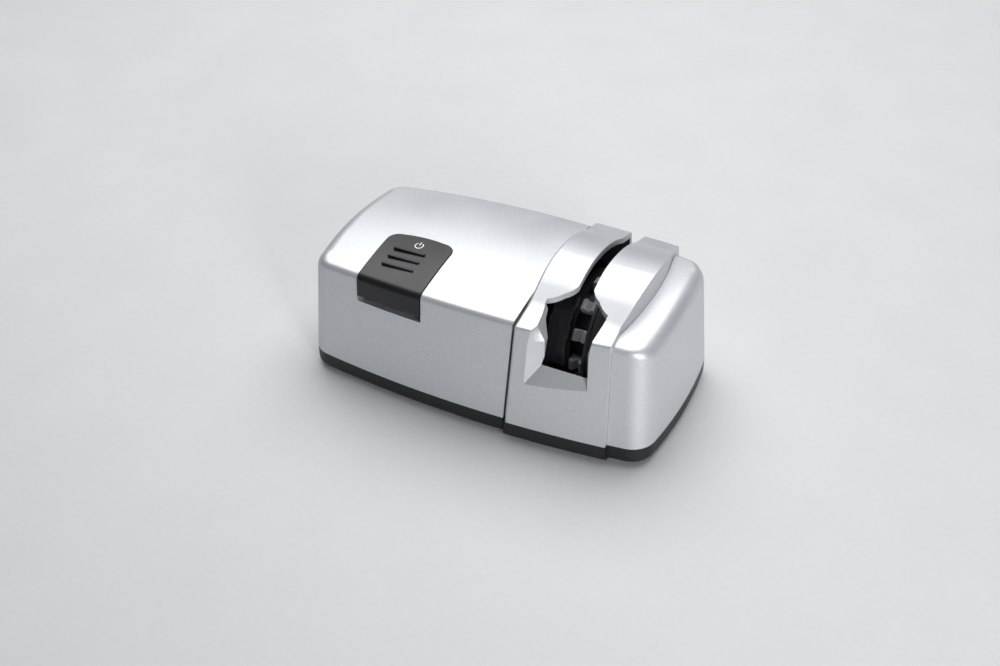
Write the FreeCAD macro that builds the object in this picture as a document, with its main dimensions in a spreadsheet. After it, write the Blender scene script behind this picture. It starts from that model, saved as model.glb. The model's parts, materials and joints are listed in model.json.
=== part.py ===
import FreeCAD, Part
import math
import os
import Sketcher
from FreeCAD import Placement, Rotation, Vector

doc = FreeCAD.newDocument("KnifeSharpener")

# Driving dimensions, in millimetres, slopes in millimetres per millimetre
SIZES = {
    # Outline of the silver body at its lower edge
    "half_length": 95.0,
    "half_depth": 50.0,
    "front_radius": 600.0,
    "end_radius": 250.0,
    "corner_radius": 12.6,
    "front_slope": 0.098,
    "end_slope": 0.067,
    "wall": 2.4,
    # Heights
    "foot_height": 1.5,
    "seam_height": 10.8,
    "form_height": 80.0,
    # Crowned top
    "crown_top": 70.5,
    "crown_back": 6.0,
    "crown_y_radius": 230.0,
    "crown_x_radius": 1250.0,
    "edge_round": 3.5,
    "end_round": 9.0,
    # Joint between the motor unit and the sharpening head
    "joint_x": 22.9,
    "joint_lean": 0.058,
    "joint_gap": 1.5,
    # Saddle of the sharpening head
    "saddle_proud": 2.35,
    "saddle_end_x": 73.5,
    "saddle_end_lean": 0.027,
    "arch_top": 80.3,
    "arch_peak_y": -1.0,
    "arch_front_radius": 41.5,
    "arch_back_radius": 70.0,
    "arch_front_run": 21.0,
    "arch_flank_run": 8.0,
    "arch_flank_drop": 4.7,
    "arch_toe_run": 6.0,
    "arch_toe_drop": 2.45,
    "ramp_drop": 6.2,
    "arch_back_run": 34.0,
    "tail_drop": 3.9,
    "bulge_front_y": -32.0,
    "bulge_back_y": 35.0,
    "bulge_bow": 4.4,
    "saddle_wall": 3.0,
    "saddle_round": 1.5,
    # Knife slot and front well
    "slot_x": 49.9,
    "slot_width": 7.4,
    "slot_floor": 58.0,
    "slot_front_y": -19.0,
    "well_half_width": 14.6,
    "well_back_y": -27.8,
    "window_far_left": 21.1,
    "window_far_right": 15.8,
    "window_far_mid_left": 24.0,
    "window_far_mid_right": 17.1,
    "window_near_left": 10.3,
    "window_near_right": 11.2,
    "window_top_left": 15.8,
    "window_top_right": 14.4,
    "window_far_floor": 30.3,
    "window_near_floor": 46.2,
    "window_mid": 58.0,
    "window_high": 70.0,
    "window_near_y": -42.0,
    "funnel_flare": 4.6,
    "funnel_run": 4.4,
    "funnel_bow": 0.5,
    "well_bore": 43.5,
    # Sharpening wheel
    "axis_z": 38.0,
    "wheel_radius": 30.5,
    "core_radius": 24.5,
    "block_root": 22.0,
    "block_width": 5.2,
    "block_count": 12,
    "disc_width": 5.0,
    "vee_depth": 3.2,
    "spindle_radius": 3.0,
    "run_clearance": 0.05,
    # Knife guides
    "guide_radius": 34.5,
    "guide_skin": 2.0,
    "guide_gap": 0.8,
    "guide_reach": 7.8,
    "guide_wall": 3.0,
    # Button
    "button_left": -60.3,
    "button_right": -24.3,
    "button_back": -7.5,
    "button_corner": 6.0,
    "button_foot": 53.4,
    "button_skin": 2.6,
    "button_proud": 0.5,
    "button_gap": 0.4,
    "button_travel_gap": 3.2,
    "button_well_depth": 7.4,
    "button_well_skin": 1.8,
    "button_pin_y": -12.0,
    "button_pin_z": 64.7,
    "button_pin_radius": 1.2,
    "stem_y": -27.0,
    "stem_radius": 2.2,
    # Battery bay
    "cell_radius": 7.1,
    "cell_length": 50.5,
    "cell_pitch": 15.0,
    "cell_count": 4,
    "bay_left": -87.2,
    "bay_spring": 6.0,
    "bay_wall": 2.0,
    "door_lip": 2.0,
    "door_skin": 1.8,
    "door_gap": 0.3,
    "floor_skin": 2.0,
    # Drive
    "motor_radius": 13.8,
    "motor_length": 32.5,
    "motor_shaft_radius": 1.15,
    "plate_x": 4.0,
    "plate_skin": 2.5,
    "gear_module": 0.8,
    "pinion_teeth": 12,
    "gear_teeth": 36,
    "gear_width": 6.0,
    "motor_angle": 315.0,
    "dog_radius": 8.0,
    "dog_tongue": 4.0,
    "dog_play": 0.3,
    # Fasteners and feet
    "screw_radius": 1.5,
    "screw_head_radius": 2.9,
    "screw_head_height": 1.9,
    "boss_radius": 4.0,
    "foot_radius": 5.0,
    "fit": 0.1,
    # Bulge, mouth and small places
    "arch_toe_bow": 0.24,
    "bulge_x": 71.7,
    "bulge_base": 63.0,
    "mouth_low": 64.0,
    "boss_left": -78.0,
    "boss_right": 12.0,
    "boss_y": 38.0,
    "boss_low": 9.0,
    "screw_sink": 3.0,
    "foot_round": 3.0,
    "tongue_y": 30.0,
    "tongue_half": 5.0,
    "tongue_low": 5.0,
    "tongue_high": 8.0,
    "stem_x": -41.6,
    "stem_low": 59.6,
    "switch_top": 56.9,
    "button_rib_left": -52.3,
    "button_rib_length": 17.0,
    "button_rib_y": -19.5,
    "button_rib_pitch": 5.9,
    "button_rib_z": 69.25,
    "button_rib_slope": 0.152,
    "button_rib_radius": 0.8,
    "cell_start": 5.4,
    "leaf_plate": 0.5,
    "leaf_half": 3.0,
    "leaf_reach": 5.0,
    "leaf_flat": 1.2,
    "leaf_skin": 0.4,
    "bush_radius": 5.0,
    "motor_cos": 0.7071,
    "motor_sin": -0.7071,
    "gear_gap": 1.0,
    "dog_reach": 11.0,
    "dog_cup_near": 3.2,
    "dog_face": 30.5,
    "guide_foot_half": 26.0,
    "guide_margin": 1.5,
    "guide_panel_back": 16.0,
    "guide_panel_low": 40.0,
    "head_boss_left": 30.4,
    "head_boss_right": 80.0,
    "head_boss_y": 38.0,
    "unit_foot_left": -66.0,
    "unit_foot_right": 2.0,
    "head_foot_x": 56.0,
    "foot_y": 38.0,
}

sheet = doc.addObject("Spreadsheet::Sheet", "Dims")
for row, (alias, value) in enumerate(SIZES.items(), 1):
    sheet.set("A%d" % row, alias)
    sheet.set("B%d" % row, str(value))
    sheet.setAlias("B%d" % row, alias)
doc.recompute()


def size(name):
    """A driving dimension read back from the sheet."""
    return float(getattr(sheet, name))


def dims(text):
    """An expression in which every word that is a driving dimension points at the sheet."""
    words = []
    word = ""
    for letter in text + " ":
        if letter.isalnum() or letter == "_":
            word += letter
            continue
        words.append("Dims." + word if word in SIZES else word)
        words.append(letter)
        word = ""
    return "".join(words).strip()


def value_of(owner, text):
    result = owner.evalExpression(dims(text))
    return float(getattr(result, "Value", result))


def bind(owner, path, text):
    owner.setExpression(path, dims(text))


def origin_plane(body, role):
    return [item for item in body.Origin.OriginFeatures if item.Role == role][0]


def new_body(name):
    return doc.addObject("PartDesign::Body", name)


def sketch_on(body, role, name, lift=None):
    """A sketch on one of the body's own origin planes, lifted along the plane's normal."""
    sketch = body.newObject("Sketcher::SketchObject", name)
    sketch.AttachmentSupport = [(origin_plane(body, role), "")]
    sketch.MapMode = "FlatFace"
    if lift:
        bind(sketch, "AttachmentOffset.Base.z", lift)
    return sketch


def constrain(sketch, kind, *where, text=None):
    index = sketch.addConstraint(Sketcher.Constraint(kind, *where))
    if text:
        bind(sketch, "Constraints[%d]" % index, text)


def outline(sketch, corners):
    """A closed outline. A corner is (x, y), or (x, y, bow) where the edge that leaves it is an
    arc that bows to the right of its direction."""
    points = [Vector(value_of(sketch, c[0]), value_of(sketch, c[1]), 0) for c in corners]
    count = len(points)
    ends = []
    for index, corner in enumerate(corners):
        start = points[index]
        end = points[(index + 1) % count]
        if len(corner) == 2:
            edge = sketch.addGeometry(Part.LineSegment(start, end))
            ends.append((edge, 1, 2))
            continue
        run = end - start
        side = Vector(run.y, -run.x, 0).normalize()
        bow = value_of(sketch, corner[2])
        middle = (start + end) * 0.5 + side * bow
        first, last = (start, end) if bow > 0 else (end, start)
        edge = sketch.addGeometry(Part.Arc(first, middle, last))
        arc = sketch.Geometry[edge]
        ends.append((edge, 1, 2) if bow > 0 else (edge, 2, 1))
        after = corners[(index + 1) % count]
        chord = "((%s) - (%s))^2 + ((%s) - (%s))^2" % (after[0], corner[0], after[1], corner[1])
        radius = "((%s) / 4 + (%s)^2) / (2 * abs(%s))" % (chord, corner[2], corner[2])
        constrain(sketch, "Radius", edge, arc.Radius, text=radius)
    for index, corner in enumerate(corners):
        edge, first, last = ends[index]
        after = ends[(index + 1) % count]
        constrain(sketch, "Coincident", edge, last, after[0], after[1])
        constrain(sketch, "DistanceX", edge, first, points[index].x, text=corner[0])
        constrain(sketch, "DistanceY", edge, first, points[index].y, text=corner[1])


def rectangle(sketch, left, right, low, high):
    outline(sketch, [(left, low), (right, low), (right, high), (left, high)])


def circle(sketch, x, y, radius):
    centre = Vector(value_of(sketch, x), value_of(sketch, y), 0)
    edge = sketch.addGeometry(Part.Circle(centre, Vector(0, 0, 1), value_of(sketch, radius)))
    constrain(sketch, "Radius", edge, value_of(sketch, radius), text=radius)
    constrain(sketch, "DistanceX", edge, 3, centre.x, text=x)
    constrain(sketch, "DistanceY", edge, 3, centre.y, text=y)


def axis_line(sketch, y):
    """A construction line along the sketch's X direction, to revolve about."""
    height = value_of(sketch, y)
    line = sketch.addGeometry(Part.LineSegment(Vector(-10, height, 0), Vector(10, height, 0)), True)
    constrain(sketch, "DistanceX", line, 1, -10.0)
    constrain(sketch, "DistanceX", line, 2, 10.0)
    constrain(sketch, "DistanceY", line, 1, height, text=y)
    constrain(sketch, "Horizontal", line)


def bowed_outline(sketch, half_x, half_y, corner):
    """Four bowed sides and four corner arcs, each tangent to its neighbours."""
    reach = value_of(sketch, half_x)
    depth = value_of(sketch, half_y)
    small = value_of(sketch, corner)
    side_centre = Vector(0, depth - size("front_radius"), 0)
    end_centre = Vector(reach - size("end_radius"), 0, 0)
    side_span = size("front_radius") - small
    end_span = size("end_radius") - small
    between = end_centre - side_centre
    along = (side_span ** 2 - end_span ** 2 + between.Length ** 2) / (2 * between.Length)
    across = math.sqrt(side_span ** 2 - along ** 2)
    unit = between.normalize()
    centre = side_centre + unit * along + Vector(unit.y, -unit.x, 0) * across
    on_side = side_centre + (centre - side_centre).normalize() * size("front_radius")
    on_end = end_centre + (centre - end_centre).normalize() * size("end_radius")
    on_corner = centre + Vector(small, small, 0) * math.sqrt(0.5)

    def flip(point, x, y):
        return Vector(point.x * x, point.y * y, 0)

    arcs = []
    for x, y in ((1, -1), (1, 1), (-1, 1), (-1, -1)):
        pair = [flip(on_side, x, y), flip(on_corner, x, y), flip(on_end, x, y)]
        arcs.append(pair if x * y < 0 else pair[::-1])
        if x * y < 0:
            arcs.append([flip(on_end, x, y), Vector(x * reach, 0, 0), flip(on_end, x, -y)])
        else:
            arcs.append([flip(on_side, x, y), Vector(0, y * depth, 0), flip(on_side, -x, y)])
    edges = [sketch.addGeometry(Part.Arc(*points)) for points in arcs]
    for index, edge in enumerate(edges):
        constrain(sketch, "Tangent", edge, 2, edges[(index + 1) % len(edges)], 1)
    reach_text = "%s - end_radius" % half_x
    depth_text = "%s - front_radius" % half_y
    for index, edge in enumerate(edges):
        arc = sketch.Geometry[edge]
        if index % 2 == 0:
            constrain(sketch, "Radius", edge, arc.Radius, text=corner)
            continue
        on_x_side = abs(arc.Center.y) < 1e-6
        constrain(sketch, "Radius", edge, arc.Radius, text="end_radius" if on_x_side else "front_radius")
        text = reach_text if on_x_side else depth_text
        kind = "DistanceX" if on_x_side else "DistanceY"
        place = arc.Center.x if on_x_side else arc.Center.y
        side_sign = 1 if index in (1, 3) else -1
        constrain(sketch, kind, edge, 3, place, text=text if side_sign > 0 else "-(%s)" % text)
        constrain(sketch, "PointOnObject", edge, 3, -1 if on_x_side else -2)


def pad(body, sketch, name, length, both=False):
    feature = body.newObject("PartDesign::Pad", name)
    feature.Profile = sketch
    feature.Midplane = both
    bind(feature, "Length", length)
    return feature


def pocket(body, sketch, name, length, both=False, reverse=False):
    feature = body.newObject("PartDesign::Pocket", name)
    feature.Profile = sketch
    feature.Midplane = both
    feature.Reversed = reverse
    bind(feature, "Length", length)
    return feature


def turn(body, sketch, name, kind="Revolution"):
    feature = body.newObject("PartDesign::" + kind, name)
    feature.Profile = sketch
    feature.ReferenceAxis = (sketch, ["Axis0"])
    feature.Angle = 360
    return feature


def loft(body, first, second, name, kind="AdditiveLoft"):
    feature = body.newObject("PartDesign::" + kind, name)
    feature.Profile = first
    feature.Sections = [second]
    feature.Ruled = True
    return feature


def box(name, x, y, z):
    """A block from its three (low, high) pairs of expressions."""
    solid = doc.addObject("Part::Box", name)
    for side, axis, (low, high) in (("Length", "x", x), ("Width", "y", y), ("Height", "z", z)):
        bind(solid, side, "(%s) - (%s)" % (high, low))
        bind(solid, "Placement.Base." + axis, low)
    return solid


TURN_TO_X = Rotation(Vector(0, 1, 0), 90)


def rod(name, radius, low, high, place, along="x"):
    """A cylinder along X at (y, z), or along Z at (x, y)."""
    solid = doc.addObject("Part::Cylinder", name)
    bind(solid, "Radius", radius)
    bind(solid, "Height", "(%s) - (%s)" % (high, low))
    if along == "x":
        solid.Placement = Placement(Vector(), TURN_TO_X)
        axes = "xyz"
    else:
        axes = "zxy"
    for axis, text in zip(axes, (low,) + tuple(place)):
        bind(solid, "Placement.Base." + axis, text)
    return solid


def join(name, parts):
    fused = doc.addObject("Part::MultiFuse", name)
    fused.Shapes = parts
    return fused


def meet(name, first, second):
    common = doc.addObject("Part::Common", name)
    common.Base = first
    common.Tool = second
    return common


def cut(name, base, tools):
    tool = tools[0] if len(tools) == 1 else join(name + "_tools", tools)
    result = doc.addObject("Part::Cut", name)
    result.Base = base
    result.Tool = tool
    return result


def group(name, parts):
    """Separate solids of one kind, kept together as one piece of the parts list."""
    compound = doc.addObject("Part::Compound", name)
    compound.Links = parts
    return compound


NODES = {}


def piece(label, made):
    """Registers a finished piece under the name that its file takes."""
    made.Label = label
    NODES[label] = made
    return made


# The crowned, drafted form that all the silver shells follow
def body_form(name, inset, proud="0", rounded=True):
    body = new_body(name)
    half_x = "half_length - (%s)" % inset
    clear_round = "" if rounded or proud != "0" else " - end_round * 0.58"
    half_y = "half_depth + (%s) - (%s)" % (proud, inset)
    corner = "corner_radius - (%s)" % inset
    low = sketch_on(body, "XY_Plane", name + "_low", "seam_height")
    bowed_outline(low, half_x, half_y, corner)
    high = sketch_on(body, "XY_Plane", name + "_high", "seam_height + form_height")
    bowed_outline(high, half_x + " - form_height * end_slope" + clear_round, half_y + " - form_height * front_slope", corner)
    solid = loft(body, low, high, name + "_loft")
    if proud != "0":
        return body
    crown = sketch_on(body, "XZ_Plane", name + "_crown", "-crown_back")
    reach = "(half_length + 20)"
    drop = "(%s^2 / (2 * crown_x_radius))" % reach
    edge = "crown_top - (%s) - %s" % (inset, drop)
    outline(crown, [("-" + reach, edge, "0 - " + drop), (reach, edge), (reach, "crown_top + 60"),
                    ("-" + reach, "crown_top + 60")])
    axis_line(crown, "crown_top - crown_y_radius")
    doc.recompute()
    dome = turn(body, crown, name + "_dome", "Groove")
    dome.Midplane = True
    dome.Angle = 40
    doc.recompute()
    if not rounded:
        return body
    rounding = doc.addObject("Part::Fillet", name + "_rounded")
    rounding.Base = body
    small = size("edge_round") - value_of(sheet, inset)
    large = size("end_round") - value_of(sheet, inset)
    edges = []
    for number, line in enumerate(body.Shape.Edges, 1):
        bounds = line.BoundBox
        if bounds.ZMin < size("axis_z") or bounds.ZLength > size("wall") * 10:
            continue
        if bounds.XLength > size("half_length"):
            edges.append((number, small, small))
        elif bounds.YLength > size("half_depth") * 0.9:
            edges.append((number, large, large))
        else:
            start, end = line.Vertexes[0].Point, line.Vertexes[-1].Point
            outward = abs(start.y) > abs(end.y)
            edges.append((number, small, large) if outward else (number, large, small))
    rounding.Edges = edges
    return rounding


def leaning_zone(name, edges):
    """A block across the whole depth, with its two ends leaning as the joint faces do."""
    body = new_body(name)
    sketch = sketch_on(body, "XZ_Plane", name + "_side")
    outline(sketch, edges)
    pad(body, sketch, name + "_pad", "half_depth * 4", both=True)
    return body


TALL = "form_height + 20"
FAR = "half_length + 20"


def joint_at(offset, height):
    """X of the leaning joint face at a height, moved by an offset."""
    return "joint_x + (%s) + joint_lean * ((%s) - seam_height)" % (offset, height)


def saddle_end_at(offset, height):
    return "saddle_end_x + (%s) - saddle_end_lean * ((%s) - seam_height)" % (offset, height)


def zone_left_of(name, offset, low="-10"):
    return leaning_zone(name, [("-(%s)" % FAR, low), (joint_at(offset, low), low),
                               (joint_at(offset, TALL), TALL), ("-(%s)" % FAR, TALL)])


def zone_saddle(name, left, right, low="-10"):
    return leaning_zone(name, [(joint_at(left, low), low), (saddle_end_at(right, low), low),
                               (saddle_end_at(right, TALL), TALL), (joint_at(left, TALL), TALL)])


def zone_right_of(name, offset, low="-10"):
    return leaning_zone(name, [(saddle_end_at(offset, low), low), (FAR, low), (FAR, TALL),
                               (saddle_end_at(offset, TALL), TALL)])


outer_form = body_form("outer_form", "0")
inner_form = body_form("inner_form", "wall", rounded=False)
doc.recompute()


# The saddle's proud form, its arch and the bulge on its outer side
ARCH_SPAN = "half_depth + 12"


def arch_cut(body, name, drop):
    """Cuts everything above the arch line, which is lowered by a drop."""
    front_fall = "(arch_front_radius - sqrt(arch_front_radius^2 - arch_front_run^2))"
    back_fall = "(arch_back_radius - sqrt(arch_back_radius^2 - arch_back_run^2))"
    peak = "arch_top - (%s)" % drop
    flank_y = "arch_peak_y - arch_front_run"
    flank_z = "%s - %s" % (peak, front_fall)
    foot_y = "%s - arch_flank_run" % flank_y
    foot_z = "%s - arch_flank_drop" % flank_z
    toe_y = "%s - arch_toe_run" % foot_y
    toe_z = "%s - arch_toe_drop" % foot_z
    tail_y = "arch_peak_y + arch_back_run"
    tail_z = "%s - %s" % (peak, back_fall)
    front_bow = "(arch_front_radius - sqrt(arch_front_radius^2 - (arch_front_run^2 + %s^2) / 4))" % front_fall
    back_bow = "(arch_back_radius - sqrt(arch_back_radius^2 - (arch_back_run^2 + %s^2) / 4))" % back_fall
    sketch = sketch_on(body, "YZ_Plane", name)
    outline(sketch, [
        ("-(%s)" % ARCH_SPAN, "%s - ramp_drop" % toe_z),
        (toe_y, toe_z, "arch_toe_bow"),
        (foot_y, foot_z),
        (flank_y, flank_z, "0 - %s" % front_bow),
        ("arch_peak_y", peak, "0 - %s" % back_bow),
        (tail_y, tail_z),
        (ARCH_SPAN, "%s - tail_drop * (%s - (%s)) / 14" % (tail_z, ARCH_SPAN, tail_y)),
        (ARCH_SPAN, TALL),
        ("-(%s)" % ARCH_SPAN, TALL),
    ])
    pocket(body, sketch, name + "_pocket", "half_length * 4", both=True)


def saddle_form(name, inset, left, right, bulge):
    """The proud band between its two leaning sides, under the arch."""
    plain = body_form(name + "_plain", inset, "saddle_proud")
    zone = zone_saddle(name + "_zone", left, right)
    band = meet(name + "_band", plain, zone)
    parts = [band]
    if bulge:
        lens = new_body(name + "_bulge")
        sketch = sketch_on(lens, "XY_Plane", name + "_bulge_plan", "bulge_base")
        outline(sketch, [("bulge_x", "bulge_front_y", "bulge_bow"), ("bulge_x", "bulge_back_y"),
                         ("bulge_x - 1.5", "bulge_back_y"), ("bulge_x - 1.5", "bulge_front_y")])
        pad(lens, sketch, name + "_bulge_pad", "form_height")
        parts.append(lens)
    over = new_body(name + "_over")
    block = sketch_on(over, "XY_Plane", name + "_over_plan", "seam_height - 20")
    rectangle(block, "-(%s)" % FAR, FAR, "-(%s)" % ARCH_SPAN, ARCH_SPAN)
    pad(over, block, name + "_over_pad", "form_height + 25")
    arch_cut(over, name + "_arch", "saddle_wall" if inset != "0" else "0")
    solid = join(name + "_union", parts) if bulge else band
    return meet(name, solid, over)


saddle_outer = saddle_form("saddle_outer", "0", "0", "0", True)
saddle_inner = saddle_form("saddle_inner", "wall", "wall", "-wall", False)

doc.recompute()
saddle_rounded = doc.addObject("Part::Fillet", "saddle_rounded")
saddle_rounded.Base = saddle_outer
rounded_edges = []
for number, line in enumerate(saddle_outer.Shape.Edges, 1):
    bounds = line.BoundBox
    at_joint = bounds.XMax < size("joint_x") + 5 and (bounds.ZMin > size("axis_z") or bounds.ZLength > size("axis_z"))
    at_face = bounds.XLength > size("axis_z") and bounds.ZMin > size("axis_z") and (
        bounds.YMax < size("window_near_y") or bounds.YMin > 0 - size("window_near_y"))
    if at_joint or at_face:
        rounded_edges.append((number, size("saddle_round"), size("saddle_round")))
saddle_rounded.Edges = rounded_edges

unit_zone = zone_left_of("unit_zone", "0 - joint_gap")
unit_inner_zone = zone_left_of("unit_inner_zone", "0")
cap_zone = zone_right_of("cap_zone", "fit")
cap_inner_zone = zone_right_of("cap_inner_zone", "0 - 1")
doc.recompute()


# Main housing: shell, button well, screw bosses
def button_zone(name, grow, foot):
    """The button's outline seen from above, grown all round, from its foot upwards."""
    body = new_body(name)
    plan = sketch_on(body, "XY_Plane", name + "_plan", foot)
    left = "button_left - (%s)" % grow
    right = "button_right + (%s)" % grow
    back = "button_back + (%s)" % grow
    corner = "(button_corner + (%s))" % grow
    bow = "(0.293 * %s)" % corner
    outline(plan, [(left, "-" + FAR_Y), (right, "-" + FAR_Y), (right, "%s - %s" % (back, corner), bow),
                   ("%s - %s" % (right, corner), back, "1"), ("%s + %s" % (left, corner), back, bow),
                   (left, "%s - %s" % (back, corner))])
    pad(body, plan, name + "_pad", "form_height")
    return body


FAR_Y = "(half_depth + 12)"
button_skin_form = body_form("button_skin_form", "0 - button_proud")
button_under_form = body_form("button_under_form", "button_skin - button_proud", rounded=False)
well_form = body_form("well_form", "button_well_depth", rounded=False)
well_back_form = body_form("well_back_form", "button_well_depth + button_well_skin", rounded=False)
opening = button_zone("button_opening", "button_gap", "button_foot - button_travel_gap")
well_block = button_zone("button_well_block", "button_gap + button_well_skin",
                         "button_foot - button_travel_gap - button_well_skin")
shell_solid = meet("housing_solid", outer_form, unit_zone)
hollow = meet("housing_hollow", inner_form, unit_inner_zone)
shell = cut("housing_shell", shell_solid, [hollow])
well_wall = cut("button_well_wall", meet("button_well_skinned", inner_form, well_block), [well_back_form])
well_space = cut("button_well_space", meet("button_well_cut", outer_form, opening), [well_form])
BOSS_X = ("boss_left", "boss_right")
bosses = []
for number, (x, side) in enumerate([(x, side) for x in BOSS_X for side in ("-", "")]):
    bosses.append(rod("housing_boss_%d" % number, "boss_radius", "boss_low", "form_height", (x, side + "boss_y"), "z"))
boss_holes = []
for number, (x, side) in enumerate([(x, side) for x in BOSS_X for side in ("-", "")]):
    boss_holes.append(rod("housing_boss_hole_%d" % number, "screw_radius", "boss_low - 1", "boss_low + 12",
                          (x, side + "boss_y"), "z"))
boss_set = meet("housing_bosses", join("housing_boss_set", bosses), outer_form)
pin_hole = rod("button_pin_hole", "button_pin_radius", "button_left - button_gap - button_well_skin",
               "button_right + button_gap + button_well_skin", ("button_pin_y", "button_pin_z"))
stem_hole = rod("button_stem_hole", "stem_radius + 1", "axis_z", "crown_top - button_well_depth + 1",
                ("stem_x", "stem_y"), "z")
housing_body = join("housing_body", [shell, well_wall, boss_set])
piece("main_housing", cut("main_housing_cut", housing_body, [well_space, pin_hole, stem_hole] + boss_holes))

# Power button: skin that wraps over the front edge, hinge ears and stem
button_plan = button_zone("button_plan", "0", "button_foot")
button_shell = cut("button_shell", meet("button_skinned", button_skin_form, button_plan), [button_under_form])
ears = []
for number, x in enumerate(("button_left + 3", "button_right - 6")):
    ears.append(box("button_ear_%d" % number, (x, "(%s) + 3" % x),
                    ("button_pin_y - 2.4", "button_pin_y + 2.4"), ("button_pin_z - 2.2", "crown_top + 3")))
ear_set = cut("button_ears", meet("button_ear_trim", join("button_ear_set", ears), button_skin_form),
              [rod("button_ear_bore", "button_pin_radius + run_clearance", "button_left", "button_right",
                   ("button_pin_y", "button_pin_z"))])
stem = meet("button_stem", rod("button_stem_rod", "stem_radius", "stem_low", "crown_top + 3",
                               ("stem_x", "stem_y"), "z"), button_skin_form)
ribs = []
for number in range(3):
    rib = new_body("button_rib_%d" % number)
    sketch = sketch_on(rib, "YZ_Plane", "button_rib_side_%d" % number, "button_rib_left")
    place = "button_rib_y - button_rib_pitch * %d" % number
    circle(sketch, place, "button_rib_z + button_rib_slope * (%s - button_rib_y)" % place, "button_rib_radius")
    pad(rib, sketch, "button_rib_pad_%d" % number, "button_rib_length")
    ribs.append(rib)
piece("power_button", join("power_button_union", [button_shell, ear_set, stem] + ribs))
piece("button_pin", rod("button_pin_rod", "button_pin_radius", "button_left - button_gap - button_well_skin + 0.1",
                        "button_right + button_gap + button_well_skin - 0.1", ("button_pin_y", "button_pin_z")))


# Base trays
def tray_form(name, inset, proud, low, high, round_foot):
    body = new_body(name)
    plan = sketch_on(body, "XY_Plane", name + "_plan", low)
    bowed_outline(plan, "half_length - (%s)" % inset, "half_depth + (%s) - (%s)" % (proud, inset),
                  "corner_radius - (%s)" % inset)
    solid = pad(body, plan, name + "_pad", "(%s) - (%s)" % (high, low))
    if round_foot:
        doc.recompute()
        edges = ["Edge%d" % n for n, e in enumerate(solid.Shape.Edges, 1)
                 if e.BoundBox.ZMax < value_of(sheet, low) + 0.01]
        rounding = body.newObject("PartDesign::Fillet", name + "_foot_round")
        rounding.Base = (solid, edges)
        bind(rounding, "Radius", "foot_round")
    return body


tray_outer = tray_form("tray_outer", "0", "0", "foot_height", "seam_height", True)
tray_inner = tray_form("tray_inner", "wall", "0", "foot_height + floor_skin", "seam_height + 1", False)
head_tray_outer = tray_form("head_tray_outer", "0", "saddle_proud", "foot_height", "seam_height", True)
head_tray_inner = tray_form("head_tray_inner", "wall", "saddle_proud", "foot_height + floor_skin",
                            "seam_height + 1", False)
unit_tray_zone = zone_left_of("unit_tray_zone", "0 - joint_gap - wall")
unit_tray = cut("unit_tray", meet("unit_tray_solid", tray_outer, unit_zone),
                [meet("unit_tray_hollow", tray_inner, unit_tray_zone)])
BAY_RIGHT = "bay_left + cell_length + bay_spring"
BAY_HALF = "cell_pitch * cell_count / 2"
BAY_TOP = "foot_height + floor_skin + cell_radius * 2 + 1.5"
bay_ring = cut("bay_ring",
               box("bay_outer", ("bay_left - bay_wall", "%s + bay_wall" % BAY_RIGHT),
                   ("0 - %s - bay_wall" % BAY_HALF, "%s + bay_wall" % BAY_HALF), ("foot_height + floor_skin", BAY_TOP)),
               [box("bay_inner", ("bay_left", BAY_RIGHT), ("0 - " + BAY_HALF, BAY_HALF),
                    ("foot_height", BAY_TOP + " + 1"))])
bay_opening = box("bay_opening", ("bay_left", BAY_RIGHT), ("0 - " + BAY_HALF, BAY_HALF), ("0", BAY_TOP))
door_seat = box("door_seat", ("bay_left - door_lip", "%s + door_lip" % BAY_RIGHT),
                ("0 - %s - door_lip" % BAY_HALF, "%s + door_lip" % BAY_HALF), ("0", "foot_height + door_skin / 2"))
base_holes = []
base_posts = []
tongue_slots = []
for number, (x, side) in enumerate([(x, side) for x in BOSS_X for side in ("-", "")]):
    at = (x, side + "boss_y")
    base_posts.append(rod("base_post_%d" % number, "boss_radius", "foot_height", "boss_low", at, "z"))
    base_holes.append(rod("base_post_hole_%d" % number, "screw_radius + 0.2", "0", "boss_low + 1", at, "z"))
    base_holes.append(rod("base_post_sink_%d" % number, "screw_head_radius + 0.4", "0",
                          "foot_height + screw_sink", at, "z"))
for number, side in enumerate(("-", "")):
    tongue_slots.append(box("tongue_slot_%d" % number, ("joint_x - joint_gap - wall * 2", "joint_x + 2"),
                            ("%stongue_y - tongue_half - 0.3" % side, "%stongue_y + tongue_half + 0.3" % side),
                            ("tongue_low - 0.3", "tongue_high + 0.3")))
main_base_solid = join("main_base_solid", [unit_tray, bay_ring] + base_posts)
piece("main_base", cut("main_base_cut", main_base_solid, [bay_opening, door_seat] + base_holes + tongue_slots))
door_plate = box("door_plate", ("bay_left - door_lip + door_gap", "%s + door_lip - door_gap" % BAY_RIGHT),
                 ("0 - %s - door_lip + door_gap" % BAY_HALF, "%s + door_lip - door_gap" % BAY_HALF),
                 ("foot_height", "foot_height + door_skin / 2"))
door_plug = box("door_plug", ("bay_left + door_gap", "%s - door_gap" % BAY_RIGHT),
                ("0 - %s + door_gap" % BAY_HALF, "%s - door_gap" % BAY_HALF),
                ("foot_height + door_skin / 2", "foot_height + floor_skin"))
grip = []
for number in range(4):
    grip.append(box("door_grip_%d" % number, ("bay_left + 3 + %d" % (3 * number), "bay_left + 4.4 + %d" % (3 * number)),
                    ("0 - 9", "9"), ("foot_height - 1", "foot_height + 0.6")))
piece("battery_door", cut("battery_door_cut", join("battery_door_union", [door_plate, door_plug]), grip))

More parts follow.
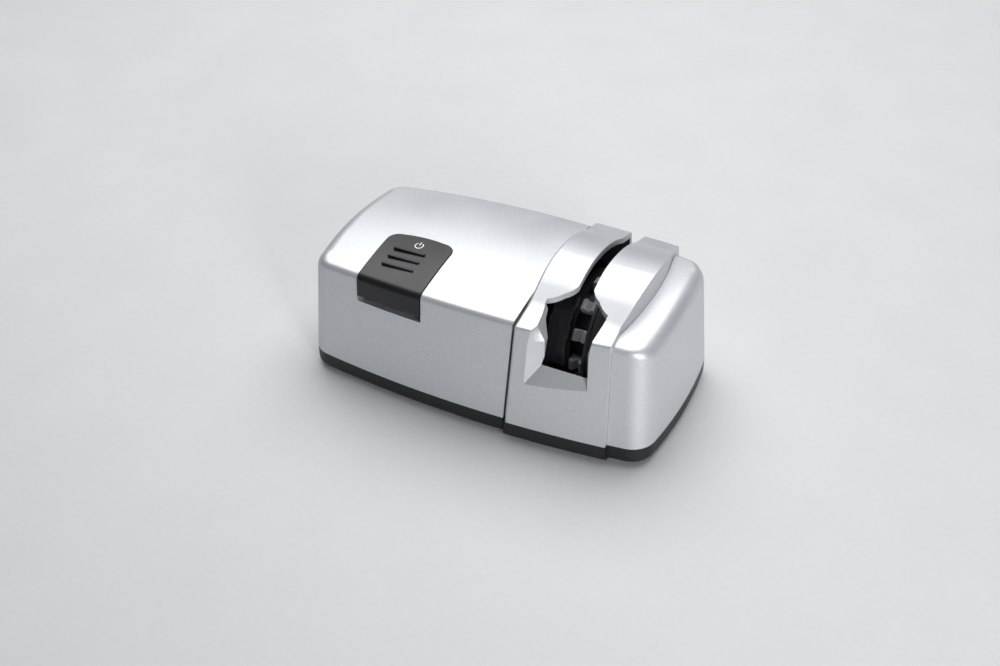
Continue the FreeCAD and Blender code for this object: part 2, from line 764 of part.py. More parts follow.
# Cells, contact plates and contact springs
CELL_Z = "foot_height + floor_skin + cell_radius + 0.2"
cells = []
plates = []
for number in range(int(size("cell_count"))):
    row_y = "cell_pitch * (%d - (cell_count - 1) / 2)" % number
    can = rod("cell_can_%d" % number, "cell_radius", "bay_left + cell_start", "bay_left + cell_start + cell_length - 1.2",
              (row_y, CELL_Z))
    nub = rod("cell_nub_%d" % number, "2.7", "bay_left + cell_start + cell_length - 2",
              "bay_left + cell_start + cell_length", (row_y, CELL_Z))
    cells.append(join("cell_%d" % number, [can, nub]))
    plates.append(box("plate_plus_%d" % number, ("%s - 0.5" % BAY_RIGHT, BAY_RIGHT),
                      (row_y + " - 5", row_y + " + 5"), ("foot_height + floor_skin + 1", BAY_TOP + " - 1.5")))
    plates.append(box("plate_minus_%d" % number, ("bay_left", "bay_left + leaf_plate"),
                      (row_y + " - 5", row_y + " + 5"), ("foot_height + floor_skin + 1", BAY_TOP + " - 1.5")))
piece("battery_cells", group("battery_cell_set", cells))
piece("battery_contacts", group("battery_contact_set", plates))


def leaf(name, row_y):
    """A bent strip that presses on the flat end of a cell."""
    body = new_body(name)
    side = sketch_on(body, "XZ_Plane", name + "_side", "0 - leaf_half - (%s)" % row_y)
    back = "bay_left + leaf_plate"
    tip = "bay_left + cell_start"
    outline(side, [
        (back, CELL_Z + " - leaf_reach"), (tip, CELL_Z + " - leaf_flat"), (tip, CELL_Z + " + leaf_flat"),
        (back, CELL_Z + " + leaf_reach"), (back, CELL_Z + " + leaf_reach - leaf_skin * 1.6"),
        (tip + " - leaf_skin", CELL_Z + " + leaf_flat - leaf_skin / 2"),
        (tip + " - leaf_skin", CELL_Z + " - leaf_flat + leaf_skin / 2"),
        (back, CELL_Z + " - leaf_reach + leaf_skin * 1.6")])
    pad(body, side, name + "_pad", "leaf_half * 2")
    return body


leaves = [leaf("leaf_%d" % n, "cell_pitch * (%d - (cell_count - 1) / 2)" % n) for n in range(int(size("cell_count")))]
piece("battery_springs", group("battery_spring_set", leaves))

# Bulkhead that closes the motor unit towards the head
bulkhead_form = body_form("bulkhead_form", "wall + fit", rounded=False)
bulkhead_zone = leaning_zone("bulkhead_zone", [
    (joint_at("0 - joint_gap - 1.6", "seam_height"), "seam_height"),
    (joint_at("0 - joint_gap + 0.9", "seam_height"), "seam_height"),
    (joint_at("0 - joint_gap + 0.9", TALL), TALL), (joint_at("0 - joint_gap - 1.6", TALL), TALL)])
BUSH_HOLE = "bush_radius"
piece("bulkhead", cut("bulkhead_cut", meet("bulkhead_plate", bulkhead_form, bulkhead_zone),
                      [rod("bulkhead_hole", "dog_radius + 1", "0", "half_length", ("0", "axis_z"))]))

# Motor, its plate and the reduction gears
MOTOR_DISTANCE = "gear_module * (pinion_teeth + gear_teeth) / 2"
motor_y = "%s * motor_cos" % MOTOR_DISTANCE
motor_z = "axis_z + %s * motor_sin" % MOTOR_DISTANCE
can_body = new_body("motor_can_body")
can_side = sketch_on(can_body, "XZ_Plane", "motor_can_side", "0 - (%s)" % motor_y)
outline(can_side, [
    ("plate_x - motor_length", "%s + motor_shaft_radius + 0.4" % motor_z),
    ("plate_x", "%s + motor_shaft_radius + 0.4" % motor_z),
    ("plate_x", "%s + motor_radius" % motor_z),
    ("plate_x - motor_length + 2", "%s + motor_radius" % motor_z),
    ("plate_x - motor_length + 2", "%s + motor_radius * 0.45" % motor_z),
    ("plate_x - motor_length", "%s + motor_radius * 0.45" % motor_z)])
axis_line(can_side, motor_z)
doc.recompute()
turn(can_body, can_side, "motor_can_turn")
piece("motor", can_body)
piece("motor_shaft", rod("motor_shaft_rod", "motor_shaft_radius", "plate_x - motor_length - 1.5",
                         "plate_x + plate_skin + gear_width + 4", (motor_y, motor_z)))
plate_body = new_body("gear_plate_body")
plate_face = sketch_on(plate_body, "YZ_Plane", "gear_plate_face", "plate_x")
outline(plate_face, [("0 - 24", "foot_height + floor_skin"), ("34", "foot_height + floor_skin"), ("34", "axis_z - 6", "6"),
                     ("14", "axis_z + 11"), ("0 - 14", "axis_z + 11", "4"), ("0 - 24", "axis_z - 6")])
pad(plate_body, plate_face, "gear_plate_pad", "plate_skin")
gear_foot = box("gear_plate_foot", ("plate_x - 8", "plate_x"), ("0 - 24", "34"),
                ("foot_height + floor_skin", "foot_height + floor_skin + 2.5"))
piece("gear_plate", cut("gear_plate_cut", join("gear_plate_union", [plate_body, gear_foot]), [
    rod("gear_plate_bush_hole", "bush_radius", "plate_x - 1", "plate_x + plate_skin + 1", ("0", "axis_z")),
    rod("gear_plate_motor_hole", "motor_shaft_radius + 1", "plate_x - 1", "plate_x + plate_skin + 1",
        (motor_y, motor_z))]))


def gear_shape(teeth, module, width, bore, turn_angle):
    """A spur gear with involute flanks, its teeth thinned a little for play."""
    pitch = module * teeth / 2
    base = pitch * math.cos(math.radians(20))
    tip = pitch + module * 0.95
    root = pitch - module * 1.25
    half_tooth = math.pi / (2 * teeth) - 0.10 / pitch

    def involute(radius):
        angle = math.acos(min(1.0, base / radius))
        return math.tan(angle) - angle

    offset = half_tooth + involute(pitch)
    radii = [max(base, root) + (tip - max(base, root)) * step / 3 for step in range(4)]
    outline_points = []
    for tooth in range(teeth):
        middle = 2 * math.pi * tooth / teeth + math.radians(turn_angle)
        flank = [(r, offset - involute(r)) for r in radii]
        for r, angle in [(root, offset)] + flank:
            outline_points.append((r, middle - angle))
        for r, angle in flank[::-1] + [(root, offset)]:
            outline_points.append((r, middle + angle))
    points = [Vector(0, r * math.cos(a), r * math.sin(a)) for r, a in outline_points]
    face = Part.Face(Part.Wire(Part.makePolygon(points + points[:1]).Edges))
    solid = face.extrude(Vector(width, 0, 0))
    return solid.cut(Part.makeCylinder(bore, width, Vector(), Vector(1, 0, 0)))


def gear_piece(name, teeth, bore, turn_angle, low, y, z):
    feature = doc.addObject("Part::Feature", name)
    feature.Shape = gear_shape(int(size(teeth)), size("gear_module"), size("gear_width"), bore, turn_angle)
    feature.Placement = Placement(Vector(value_of(sheet, low), value_of(sheet, y), value_of(sheet, z)), Rotation())
    return feature


mesh_angle = 180 + size("motor_angle")
gear_turn = size("motor_angle")
piece("drive_gear", gear_piece("drive_gear_solid", "gear_teeth", size("spindle_radius"), gear_turn,
                               "plate_x + plate_skin + gear_gap", "0", "axis_z"))
piece("motor_pinion", gear_piece("motor_pinion_solid", "pinion_teeth", size("motor_shaft_radius"),
                                 mesh_angle + 180 / size("pinion_teeth"),
                                 "plate_x + plate_skin + gear_gap", motor_y, motor_z))
OUTPUT_END = "joint_x - 4"
piece("output_shaft", rod("output_shaft_rod", "spindle_radius", "plate_x - 4", OUTPUT_END, ("0", "axis_z")))
bush = cut("output_bush_cut", rod("output_bush_rod", "bush_radius", "plate_x - 1.5", "plate_x + plate_skin + 0.5",
                                  ("0", "axis_z")),
           [rod("output_bush_bore", "spindle_radius + run_clearance", "plate_x - 3", "plate_x + plate_skin + 2",
                ("0", "axis_z"))])
piece("output_bush", bush)
dog_flange = rod("drive_dog_flange", "dog_radius", OUTPUT_END, OUTPUT_END + " + 5", ("0", "axis_z"))
dog_tongue = meet("drive_dog_tongue",
                  box("drive_dog_blade", (OUTPUT_END, OUTPUT_END + " + dog_reach"),
                      ("0 - dog_tongue / 2", "dog_tongue / 2"),
                      ("axis_z - dog_radius", "axis_z + dog_radius")),
                  rod("drive_dog_round", "dog_radius - 1", OUTPUT_END, OUTPUT_END + " + dog_reach", ("0", "axis_z")))
piece("drive_dog", join("drive_dog_union", [dog_flange, dog_tongue]))

# Switch under the button well
piece("switch_body", cut("switch_body_cut",
                         box("switch_block", ("stem_x - 10", "stem_x + 10"), ("stem_y - 3.5", "stem_y + 5"),
                             ("switch_top - 11", "switch_top")),
                         [rod("switch_bore", "1.8 + run_clearance * 4", "switch_top - 6", "switch_top + 1",
                              ("stem_x", "stem_y"), "z")]))
piece("switch_plunger", rod("switch_plunger_rod", "1.8", "switch_top - 3.5", "stem_low - 0.1",
                            ("stem_x", "stem_y"), "z"))

# Head: saddle cover
liner = meet("saddle_liner", saddle_rounded,
             cut("saddle_liner_block",
                 box("saddle_liner_box", ("slot_x - window_top_left - wall * 1.6", "slot_x + window_top_right + wall * 1.6"),
                     ("0 - half_depth - 10", "well_back_y + 6"), ("window_far_floor - wall", TALL)),
                 [rod("saddle_liner_bore", "well_bore", "0", "half_length", ("0", "axis_z"))]))
saddle_shell = join("saddle_shell", [cut("saddle_skin", saddle_rounded, [saddle_inner]), liner])


def window_face(body, name, lift, left_low, right_low, left_mid, right_mid, floor):
    """One section of the front window, which opens upwards."""
    face = sketch_on(body, "XZ_Plane", name, lift)
    outline(face, [
        ("slot_x - " + left_low, floor), ("slot_x + " + right_low, floor),
        ("slot_x + " + right_mid, "window_mid"), ("slot_x + window_top_right", "window_high"),
        ("slot_x + window_top_right", TALL), ("slot_x - window_top_left", TALL),
        ("slot_x - window_top_left", "window_high"), ("slot_x - " + left_mid, "window_mid")])
    return face


def funnel(name, low):
    """The plan shape of the slot and of the mouth that it opens into."""
    body = new_body(name)
    plan = sketch_on(body, "XY_Plane", name + "_plan", low)
    half = "slot_width / 2"
    flare_x = half + " + funnel_flare"
    flare_y = "slot_front_y - funnel_run"
    front = "well_back_y - 2"
    outline(plan, [
        ("slot_x - " + half, FAR_Y), ("slot_x - " + half, "slot_front_y", "0 - funnel_bow"),
        ("slot_x - (%s)" % flare_x, flare_y, "0 - funnel_bow"), ("slot_x - window_top_left", "well_back_y"),
        ("slot_x - window_top_left", front), ("slot_x + window_top_right", front),
        ("slot_x + window_top_right", "well_back_y", "0 - funnel_bow"),
        ("slot_x + " + flare_x, flare_y, "0 - funnel_bow"), ("slot_x + " + half, "slot_front_y"),
        ("slot_x + " + half, FAR_Y)])
    pad(body, plan, name + "_pad", "form_height")
    return body


top_mouth = funnel("top_mouth", "mouth_low")
window = new_body("window")
far_face = window_face(window, "window_far_face", "half_depth + saddle_proud", "window_far_left", "window_far_right",
                       "window_far_mid_left", "window_far_mid_right", "window_far_floor")
near_face = window_face(window, "window_near_face", "0 - window_near_y", "window_near_left", "window_near_right",
                        "window_near_left", "window_near_right", "window_near_floor")
loft(window, far_face, near_face, "window_loft")
slot_cut = box("slot_cut", ("slot_x - slot_width / 2", "slot_x + slot_width / 2"), ("well_back_y + 4", FAR_Y),
               ("slot_floor", TALL))
window_through = new_body("window_through")
through_face = window_face(window_through, "window_through_face", "1.2 - well_back_y", "window_near_left",
                           "window_near_right", "window_near_left", "window_near_right", "window_near_floor")
pad(window_through, through_face, "window_through_pad", "well_back_y - window_near_y")
dog_window = rod("dog_window", "dog_radius + 2", "0", "slot_x - well_half_width - 4", ("0", "axis_z"))
piece("saddle_cover", cut("saddle_cover_cut", saddle_shell, [top_mouth, window, window_through, slot_cut, dog_window]))

# Head: end cap
cap_solid = meet("cap_solid", outer_form, cap_zone)
cap_hollow = meet("cap_hollow", inner_form, cap_inner_zone)
relief = new_body("cap_relief")
relief_plan = sketch_on(relief, "XY_Plane", "cap_relief_plan", "bulge_base - 1")
outline(relief_plan, [("bulge_x + fit", "bulge_front_y - 1", "bulge_bow"), ("bulge_x + fit", "bulge_back_y + 1"),
                      ("bulge_x - 1.5", "bulge_back_y + 1"), ("bulge_x - 1.5", "bulge_front_y - 1")])
pad(relief, relief_plan, "cap_relief_pad", "form_height")
piece("end_cap", cut("end_cap_cut", cap_solid, [cap_hollow, relief]))

# Head: base tray, with tongues that plug into the motor unit
head_zone = zone_saddle("head_tray_zone", "0", "0", "-10")
head_hollow_zone = zone_saddle("head_hollow_zone", "wall", "0 - wall", "-10")
band_tray = cut("band_tray", meet("band_tray_solid", head_tray_outer, head_zone),
                [meet("band_tray_hollow", head_tray_inner, head_hollow_zone)])
cap_tray_zone = zone_right_of("cap_tray_zone", "0 - 0.5")
cap_tray_hollow_zone = zone_right_of("cap_tray_hollow_zone", "0 - wall - 1")
cap_tray = cut("cap_tray", meet("cap_tray_solid", tray_outer, cap_tray_zone),
               [meet("cap_tray_hollow", tray_inner, cap_tray_hollow_zone)])
tongues = []
for number, side in enumerate(("-", "")):
    tongues.append(box("tongue_%d" % number, ("joint_x - joint_gap - wall - 4", "joint_x + wall"),
                       ("%stongue_y - tongue_half" % side, "%stongue_y + tongue_half" % side),
                       ("tongue_low", "tongue_high")))
head_posts = []
head_holes = []
HEAD_BOSS_X = ("head_boss_left", "head_boss_right")
for number, (x, side) in enumerate([(x, side) for x in HEAD_BOSS_X for side in ("-", "")]):
    at = (x, side + "head_boss_y")
    head_posts.append(rod("head_post_%d" % number, "boss_radius", "foot_height", "boss_low", at, "z"))
    head_holes.append(rod("head_post_hole_%d" % number, "screw_radius + 0.2", "0", "boss_low + 1", at, "z"))
    head_holes.append(rod("head_post_sink_%d" % number, "screw_head_radius + 0.4", "0",
                          "foot_height + screw_sink", at, "z"))
piece("head_base", cut("head_base_cut", join("head_base_union", [band_tray, cap_tray] + tongues + head_posts),
                       head_holes))


# Knife guides: side wall with the bush seat, and the curved guard panel
def guide(name, wall_low, wall_high, panel_low, panel_high):
    wall_body = new_body(name + "_wall")
    face = sketch_on(wall_body, "YZ_Plane", name + "_face", wall_low)
    foot = "foot_height + floor_skin"
    outline(face, [("0 - guide_foot_half", foot), ("guide_foot_half", foot), ("guide_radius", "axis_z"),
                   ("0 - guide_radius", "axis_z")])
    pad(wall_body, face, name + "_wall_pad", "(%s) - (%s)" % (wall_high, wall_low))
    round_top = rod(name + "_round", "guide_radius", wall_low, wall_high, ("0", "axis_z"))
    skin_body = new_body(name + "_panel")
    side = sketch_on(skin_body, "XZ_Plane", name + "_side")
    margin = "guide_margin"
    outline(side, [(panel_low, "axis_z + guide_radius - guide_skin"), (panel_high, "axis_z + guide_radius - guide_skin"),
                   (panel_high, "axis_z + guide_radius"), ("%s - %s" % (panel_high, margin), "axis_z + guide_radius"),
                   ("%s - %s" % (panel_high, margin), "axis_z + guide_radius - 0.6"),
                   ("%s + %s" % (panel_low, margin), "axis_z + guide_radius - 0.6"),
                   ("%s + %s" % (panel_low, margin), "axis_z + guide_radius"), (panel_low, "axis_z + guide_radius")])
    axis_line(side, "axis_z")
    doc.recompute()
    turn(skin_body, side, name + "_panel_turn")
    keep = box(name + "_keep", ("slot_x - 30", "slot_x + 30"), ("0 - guide_radius - 1", "0 - guide_panel_back"),
               ("guide_panel_low", "axis_z + guide_radius + 1"))
    panel = meet(name + "_panel_cut", skin_body, keep)
    union = join(name + "_union", [wall_body, round_top, panel])
    bore = rod(name + "_bush_hole", "bush_radius", "(%s) - 1" % wall_low, "(%s) + 1" % wall_high, ("0", "axis_z"))
    return cut(name + "_cut", union, [bore])


LEFT_OUT = "slot_x - well_half_width"
LEFT_IN = "slot_x - slot_width / 2 - guide_gap"
RIGHT_IN = "slot_x + slot_width / 2 + guide_gap"
RIGHT_OUT = "slot_x + well_half_width"
piece("knife_guide_left", guide("guide_left", LEFT_OUT, LEFT_OUT + " + guide_wall", LEFT_OUT, LEFT_IN))
piece("knife_guide_right", guide("guide_right", RIGHT_OUT + " - guide_wall", RIGHT_OUT, RIGHT_IN, RIGHT_OUT))


# Sharpening wheel: two flanged discs, a core and the abrasive blocks between them
def disc(name, inner, outer):
    """A disc with a dished outer face; inner is the X of the face towards the slot."""
    body = new_body(name)
    side = sketch_on(body, "XZ_Plane", name + "_side")
    corners = [(inner, "axis_z + spindle_radius"), (inner, "axis_z + wheel_radius - 0.8"),
               ("(%s) * 0.85 + (%s) * 0.15" % (inner, outer), "axis_z + wheel_radius"),
               ("(%s) * 0.3 + (%s) * 0.7" % (inner, outer), "axis_z + wheel_radius"),
               ("(%s) * 0.3 + (%s) * 0.7" % (inner, outer), "axis_z + wheel_radius - 4"),
               (outer, "axis_z + spindle_radius + 5"), (outer, "axis_z + spindle_radius")]
    outline(side, corners)
    axis_line(side, "axis_z")
    doc.recompute()
    turn(body, side, name + "_turn")
    return body


DISC_LEFT = "slot_x - slot_width / 2"
DISC_RIGHT = "slot_x + slot_width / 2"
piece("wheel_disc_left", disc("disc_left", DISC_LEFT, DISC_LEFT + " - disc_width"))
piece("wheel_disc_right", disc("disc_right", DISC_RIGHT, DISC_RIGHT + " + disc_width"))
core = new_body("core_body")
core_side = sketch_on(core, "XZ_Plane", "core_side")
rectangle(core_side, DISC_LEFT, DISC_RIGHT, "axis_z + spindle_radius", "axis_z + core_radius")
axis_line(core_side, "axis_z")
doc.recompute()
turn(core, core_side, "core_turn")
block_seats = []
blocks = []
for number in range(int(size("block_count"))):
    seat = new_body("block_seat_%d" % number)
    plan = sketch_on(seat, "XZ_Plane", "block_seat_side_%d" % number)
    rectangle(plan, DISC_LEFT, DISC_RIGHT, "block_root", "wheel_radius")
    pad(seat, plan, "block_seat_pad_%d" % number, "block_width", both=True)
    seat.Placement = Placement(Vector(0, 0, size("axis_z")), Rotation(Vector(1, 0, 0), 360.0 * number / size("block_count")))
    bind(seat, "Placement.Base.z", "axis_z")
    block_seats.append(seat)
    block = new_body("block_%d" % number)
    face = sketch_on(block, "XZ_Plane", "block_side_%d" % number)
    outline(face, [(DISC_LEFT, "block_root"), (DISC_RIGHT, "block_root"), (DISC_RIGHT, "wheel_radius - 1"),
                   ("slot_x + 1.9", "wheel_radius - 0.2"), ("slot_x", "wheel_radius - vee_depth"),
                   ("slot_x - 1.9", "wheel_radius - 0.2"), (DISC_LEFT, "wheel_radius - 1")])
    pad(block, face, "block_pad_%d" % number, "block_width", both=True)
    block.Placement = seat.Placement
    bind(block, "Placement.Base.z", "axis_z")
    blocks.append(block)
piece("wheel_core", cut("wheel_core_cut", core, block_seats))
piece("abrasive_blocks", group("abrasive_block_set", blocks))
piece("wheel_spindle", rod("wheel_spindle_rod", "spindle_radius", "dog_face", RIGHT_OUT + " + 2", ("0", "axis_z")))
bushes = []
for number, (low, high) in enumerate(((LEFT_OUT, LEFT_OUT + " + guide_wall"),
                                      (RIGHT_OUT + " - guide_wall", RIGHT_OUT))):
    ring = rod("spindle_bush_rod_%d" % number, "bush_radius", low, high, ("0", "axis_z"))
    bore = rod("spindle_bush_bore_%d" % number, "spindle_radius + run_clearance", "(%s) - 1" % low, "(%s) + 1" % high,
               ("0", "axis_z"))
    bushes.append(cut("spindle_bush_%d" % number, ring, [bore]))
piece("spindle_bushes", group("spindle_bush_set", bushes))
dog_cup = rod("driven_dog_cup", "dog_radius", "joint_x + dog_cup_near", "dog_face + 1.5", ("0", "axis_z"))
dog_slot = box("driven_dog_slot", ("joint_x", "dog_face - 0.4"),
               ("0 - dog_tongue / 2 - dog_play", "dog_tongue / 2 + dog_play"),
               ("axis_z - dog_radius - 1", "axis_z + dog_radius + 1"))
piece("driven_dog", cut("driven_dog_cut", dog_cup,
                        [dog_slot, rod("driven_dog_bore", "spindle_radius", "dog_face", "dog_face + 2",
                                       ("0", "axis_z"))]))


# Screws and rubber feet
def screw_set(name, xs, y_name):
    screws = []
    for number, (x, side) in enumerate([(x, side) for x in xs for side in ("-", "")]):
        at = (x, side + y_name)
        shank = rod("%s_shank_%d" % (name, number), "screw_radius - 0.1", "foot_height + screw_sink - screw_head_height",
                    "boss_low + 10", at, "z")
        head = rod("%s_head_%d" % (name, number), "screw_head_radius",
                   "foot_height + screw_sink - screw_head_height", "foot_height + screw_sink", at, "z")
        drive = box("%s_drive_%d" % (name, number), (x + " - 2", x + " + 2"), (side + y_name + " - 0.4",
                    side + y_name + " + 0.4"), ("foot_height", "foot_height + screw_sink - screw_head_height + 0.8"))
        screws.append(cut("%s_%d" % (name, number), join("%s_pin_%d" % (name, number), [shank, head]), [drive]))
    return group(name + "_set", screws)


piece("unit_screws", screw_set("unit_screw", BOSS_X, "boss_y"))
piece("head_screws", screw_set("head_screw", HEAD_BOSS_X, "head_boss_y"))
cover_bosses = []


def feet(name, places):
    made = []
    for number, (x, y) in enumerate(places):
        disc_part = rod("%s_%d" % (name, number), "foot_radius", "0", "foot_height", (x, y), "z")
        made.append(disc_part)
    return group(name + "_set", made)


piece("unit_feet", feet("unit_foot", [(x, side + "foot_y") for x in ("unit_foot_left", "unit_foot_right")
                                      for side in ("-", "")]))
piece("head_feet", feet("head_foot", [("head_foot_x", side + "foot_y") for side in ("-", "")]))

doc.recompute()
failed = []
for item in doc.Objects:
    if "Invalid" in item.State or "Error" in item.State:
        failed.append("%s (%s): %s" % (item.Name, item.Label, item.getStatusString()))
for label, item in NODES.items():
    if item.Shape.isNull() or not item.Shape.isValid():
        failed.append(label + ": no valid shape")
if failed:
    raise SystemExit("\n".join(failed))

os.makedirs("parts", exist_ok=True)
for label, item in sorted(NODES.items()):
    item.Shape.exportStep("parts/%s.step" % label)
    bounds = item.Shape.optimalBoundingBox()
    print("%-20s solids %2d volume %9.1f  x %6.1f %6.1f  y %6.1f %6.1f  z %6.1f %6.1f" % (
        label, len(item.Shape.Solids), item.Shape.Volume, bounds.XMin, bounds.XMax, bounds.YMin, bounds.YMax,
        bounds.ZMin, bounds.ZMax))
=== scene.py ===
import json
import math

import bpy
from mathutils import Matrix, Vector


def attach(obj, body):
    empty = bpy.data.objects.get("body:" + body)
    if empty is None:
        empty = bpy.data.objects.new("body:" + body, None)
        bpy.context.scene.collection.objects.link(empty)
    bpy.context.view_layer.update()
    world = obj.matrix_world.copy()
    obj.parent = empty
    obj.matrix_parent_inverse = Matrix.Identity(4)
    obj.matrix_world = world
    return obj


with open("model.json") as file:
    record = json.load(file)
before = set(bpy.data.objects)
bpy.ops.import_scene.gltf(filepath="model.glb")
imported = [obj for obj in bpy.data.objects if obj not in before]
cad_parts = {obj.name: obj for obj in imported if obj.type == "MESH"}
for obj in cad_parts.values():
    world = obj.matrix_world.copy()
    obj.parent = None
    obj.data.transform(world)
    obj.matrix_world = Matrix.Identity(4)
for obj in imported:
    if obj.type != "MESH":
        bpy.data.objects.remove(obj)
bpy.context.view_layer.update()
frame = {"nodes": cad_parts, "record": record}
nodes = frame["nodes"]

# Camera: position and axes fitted to the photograph, in metres
CAMERA_PLACE = (0.238237, -0.465844, 0.421085)
CAMERA_RIGHT = (0.89157893, 0.45260309, -0.01540973)
CAMERA_UP = (-0.26418323, 0.54744706, 0.79404593)
CAMERA_BACK = (0.36782365, -0.70388362, 0.60766241)
SENSOR = 36.0
LENS = 46.8

# Floor and light: lengths in metres, powers in watts
FLOOR_HALF = 3.0
FLOOR_COLOR = (0.57, 0.58, 0.59)
SKY_COLOR = (0.80, 0.84, 0.90, 1.0)
SKY_STRENGTH = 0.13
OVERHEAD_PLACE = (-0.15, 0.45, 1.15)
OVERHEAD_TARGET = (0.0, 0.0, 0.05)
FRONT_PLACE = (0.75, -0.62, 0.24)
FRONT_TARGET = (0.08, 0.0, 0.05)
FRONT_SPREAD = math.radians(70)

# Power symbol printed on the button: a ring with a gap and a bar, in metres
SYMBOL_PLACE = (-0.0419, -0.0132)
RING_STEPS = 28
RING_OUTER = 0.0023
RING_INNER = 0.00175
RING_GAP = math.radians(38)
BAR_HALF = 0.00028
BAR_LOW = 0.0002
BAR_HIGH = 0.0027
PRINT_LIFT = 0.00006
RAY_START = 0.2

camera_data = bpy.data.cameras.new("camera")
camera_data.sensor_width = SENSOR
camera_data.lens = LENS
camera = bpy.data.objects.new("camera", camera_data)
bpy.context.scene.collection.objects.link(camera)
axes = Matrix((CAMERA_RIGHT, CAMERA_UP, CAMERA_BACK)).transposed().to_4x4()
camera.matrix_world = Matrix.Translation(CAMERA_PLACE) @ axes
bpy.context.scene.camera = camera
bpy.context.scene.view_settings.view_transform = "Standard"


# Materials
def grained(name, color, rough, metal=0.0, speckle=0.03, grain=1800.0, bump=0.05, bump_scale=900.0,
            wear=0.05, coat=0.0, coat_rough=0.15, shade=0.0):
    """A shader with fine speckle in its colour, cloudy roughness and a faint bump."""
    material = bpy.data.materials.new(name)
    material.use_nodes = True
    tree = material.node_tree
    shader = tree.nodes["Principled BSDF"]
    shader.inputs["Metallic"].default_value = metal
    shader.inputs["Coat Weight"].default_value = coat
    shader.inputs["Coat Roughness"].default_value = coat_rough
    place = tree.nodes.new("ShaderNodeTexCoord")

    def noise(scale, detail=2.0):
        node = tree.nodes.new("ShaderNodeTexNoise")
        node.inputs["Scale"].default_value = scale
        node.inputs["Detail"].default_value = detail
        tree.links.new(place.outputs["Object"], node.inputs["Vector"])
        return node.outputs["Fac"]

    def spread(source, low, high, start=0.3, end=0.7):
        node = tree.nodes.new("ShaderNodeMapRange")
        node.inputs["From Min"].default_value = start
        node.inputs["From Max"].default_value = end
        node.inputs["To Min"].default_value = low
        node.inputs["To Max"].default_value = high
        tree.links.new(source, node.inputs["Value"])
        return node.outputs["Result"]

    fine = noise(grain, 1.0)
    cloud = noise(22.0, 3.0)
    factor = tree.nodes.new("ShaderNodeMath")
    factor.operation = "MULTIPLY"
    tree.links.new(spread(fine, 1.0 - speckle, 1.0 + speckle), factor.inputs[0])
    tree.links.new(spread(cloud, 1.0 - wear * 0.4, 1.0 + wear * 0.4), factor.inputs[1])
    tint = tree.nodes.new("ShaderNodeMix")
    tint.data_type = "RGBA"
    tint.blend_type = "MULTIPLY"
    tint.inputs["Factor"].default_value = 1.0
    tint.inputs[6].default_value = (*color, 1.0)
    tree.links.new(factor.outputs["Value"], tint.inputs[7])
    tree.links.new(tint.outputs[2], shader.inputs["Base Color"])
    tree.links.new(spread(cloud, rough - wear, rough + wear), shader.inputs["Roughness"])
    relief = tree.nodes.new("ShaderNodeBump")
    relief.inputs["Strength"].default_value = bump
    relief.inputs["Distance"].default_value = 0.0001
    tree.links.new(noise(bump_scale, 2.0), relief.inputs["Height"])
    tree.links.new(relief.outputs["Normal"], shader.inputs["Normal"])
    return material


LOOKS = {
    "silver_shell": grained("silver_shell", (0.56, 0.575, 0.60), 0.44, metal=0.55, speckle=0.07, coat=0.12,
                            coat_rough=0.35),
    "black_base": grained("black_base", (0.004, 0.0042, 0.005), 0.50, speckle=0.15, bump=0.12),
    "button_black": grained("button_black", (0.005, 0.0052, 0.006), 0.42, speckle=0.12),
    "guide_black": grained("guide_black", (0.012, 0.012, 0.014), 0.30, speckle=0.1),
    "guide_grey": grained("guide_grey", (0.035, 0.035, 0.038), 0.42, speckle=0.1),
    "wheel_black": grained("wheel_black", (0.010, 0.010, 0.012), 0.35, speckle=0.1),
    "abrasive": grained("abrasive", (0.44, 0.45, 0.45), 0.75, speckle=0.25, grain=2500.0, bump=0.4,
                        bump_scale=2600.0),
    "steel": grained("steel", (0.58, 0.58, 0.59), 0.28, metal=1.0),
    "screw_steel": grained("screw_steel", (0.42, 0.42, 0.43), 0.35, metal=1.0),
    "brass": grained("brass", (0.66, 0.46, 0.18), 0.3, metal=1.0),
    "gear_plastic": grained("gear_plastic", (0.72, 0.70, 0.64), 0.45),
    "motor_can": grained("motor_can", (0.50, 0.51, 0.52), 0.3, metal=1.0),
    "plate_steel": grained("plate_steel", (0.55, 0.56, 0.57), 0.4, metal=1.0),
    "switch_black": grained("switch_black", (0.03, 0.03, 0.033), 0.5),
    "switch_red": grained("switch_red", (0.45, 0.03, 0.02), 0.45),
    "cell_wrap": grained("cell_wrap", (0.09, 0.10, 0.12), 0.3),
    "contact_metal": grained("contact_metal", (0.66, 0.66, 0.68), 0.22, metal=1.0),
    "rubber": grained("rubber", (0.022, 0.022, 0.022), 0.8, speckle=0.2, bump=0.3),
}
SLOTS = {entry["node"]: entry["material_slot"] for entry in frame["record"]["subparts"]}
for name, thing in nodes.items():
    thing.data.materials.clear()
    thing.data.materials.append(LOOKS[SLOTS[name]])

# Floor and lights
floor_data = bpy.data.meshes.new("floor")
corners = [(-FLOOR_HALF, -FLOOR_HALF, 0), (FLOOR_HALF, -FLOOR_HALF, 0), (FLOOR_HALF, FLOOR_HALF, 0),
           (-FLOOR_HALF, FLOOR_HALF, 0)]
floor_data.from_pydata(corners, [], [(0, 1, 2, 3)])
floor = bpy.data.objects.new("floor", floor_data)
bpy.context.scene.collection.objects.link(floor)
floor_data.materials.append(grained("floor", FLOOR_COLOR, 0.7, speckle=0.01, grain=300.0))

world = bpy.data.worlds.new("world")
world.use_nodes = True
sky = world.node_tree.nodes["Background"]
sky.inputs["Color"].default_value = SKY_COLOR
sky.inputs["Strength"].default_value = SKY_STRENGTH
bpy.context.scene.world = world


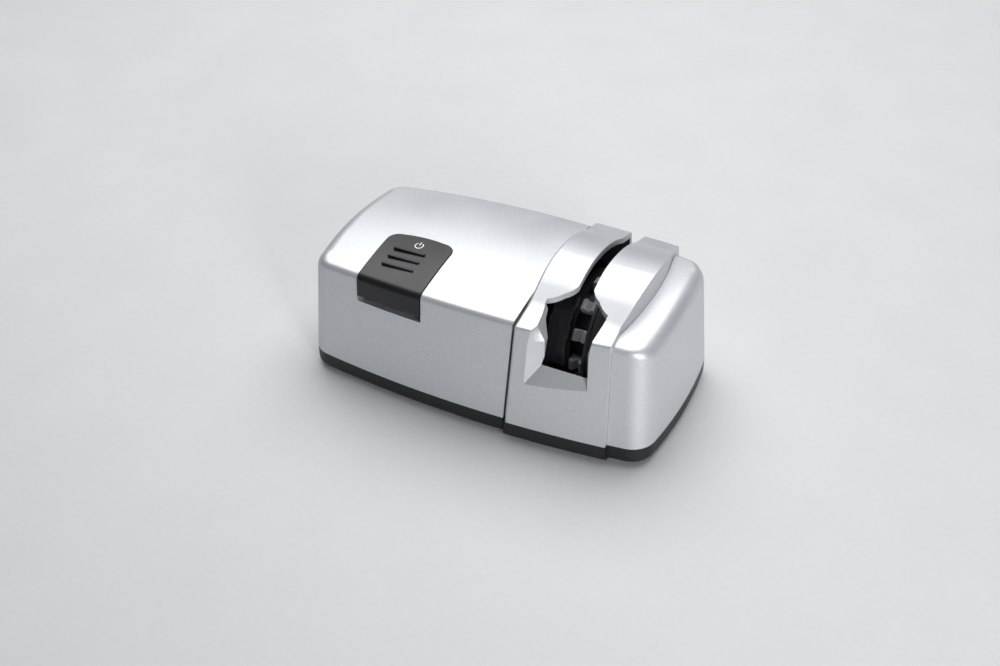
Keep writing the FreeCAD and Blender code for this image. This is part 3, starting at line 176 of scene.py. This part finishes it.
def softbox(name, place, target, width, height, power, spread=math.pi):
    """A rectangular lamp that faces a point."""
    data = bpy.data.lights.new(name, "AREA")
    data.shape = "RECTANGLE"
    data.size = width
    data.size_y = height
    data.energy = power
    data.spread = spread
    lamp = bpy.data.objects.new(name, data)
    bpy.context.scene.collection.objects.link(lamp)
    lamp.location = place
    away = Vector(place) - Vector(target)
    lamp.rotation_euler = away.to_track_quat("Z", "Y").to_euler()


softbox("overhead", OVERHEAD_PLACE, OVERHEAD_TARGET, 1.5, 1.2, 22.5)
softbox("right_front", FRONT_PLACE, FRONT_TARGET, 0.22, 0.5, 1.1, spread=FRONT_SPREAD)


def top_of(thing, x, y):
    """The height of a node's upper side under a point."""
    hit, place, _, _ = thing.ray_cast(Vector((x, y, RAY_START)), Vector((0, 0, -1)))
    return place.z if hit else 0.0


def printed(name, outline_2d, faces, thing, body, color):
    """A flat print that lies on the upper side of a node."""
    points = [(x, y, top_of(thing, x, y) + PRINT_LIFT) for x, y in outline_2d]
    data = bpy.data.meshes.new(name)
    data.from_pydata(points, [], faces)
    mark = bpy.data.objects.new(name, data)
    bpy.context.scene.collection.objects.link(mark)
    data.materials.append(color)
    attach(mark, body)


ring = []
ring_faces = []
for step in range(RING_STEPS + 1):
    angle = math.pi / 2 + RING_GAP + (2 * math.pi - 2 * RING_GAP) * step / RING_STEPS
    for radius in (RING_OUTER, RING_INNER):
        ring.append((SYMBOL_PLACE[0] + radius * math.cos(angle), SYMBOL_PLACE[1] + radius * math.sin(angle)))
    if step:
        k = 2 * step
        ring_faces.append((k - 2, k, k + 1, k - 1))
base = len(ring)
for side, height in ((-BAR_HALF, BAR_LOW), (BAR_HALF, BAR_LOW), (BAR_HALF, BAR_HIGH), (-BAR_HALF, BAR_HIGH)):
    ring.append((SYMBOL_PLACE[0] + side, SYMBOL_PLACE[1] + height))
ring_faces.append((base, base + 1, base + 2, base + 3))
white = grained("print_white", (0.75, 0.76, 0.77), 0.5)
printed("power_symbol", ring, ring_faces, nodes["power_button"], "button", white)
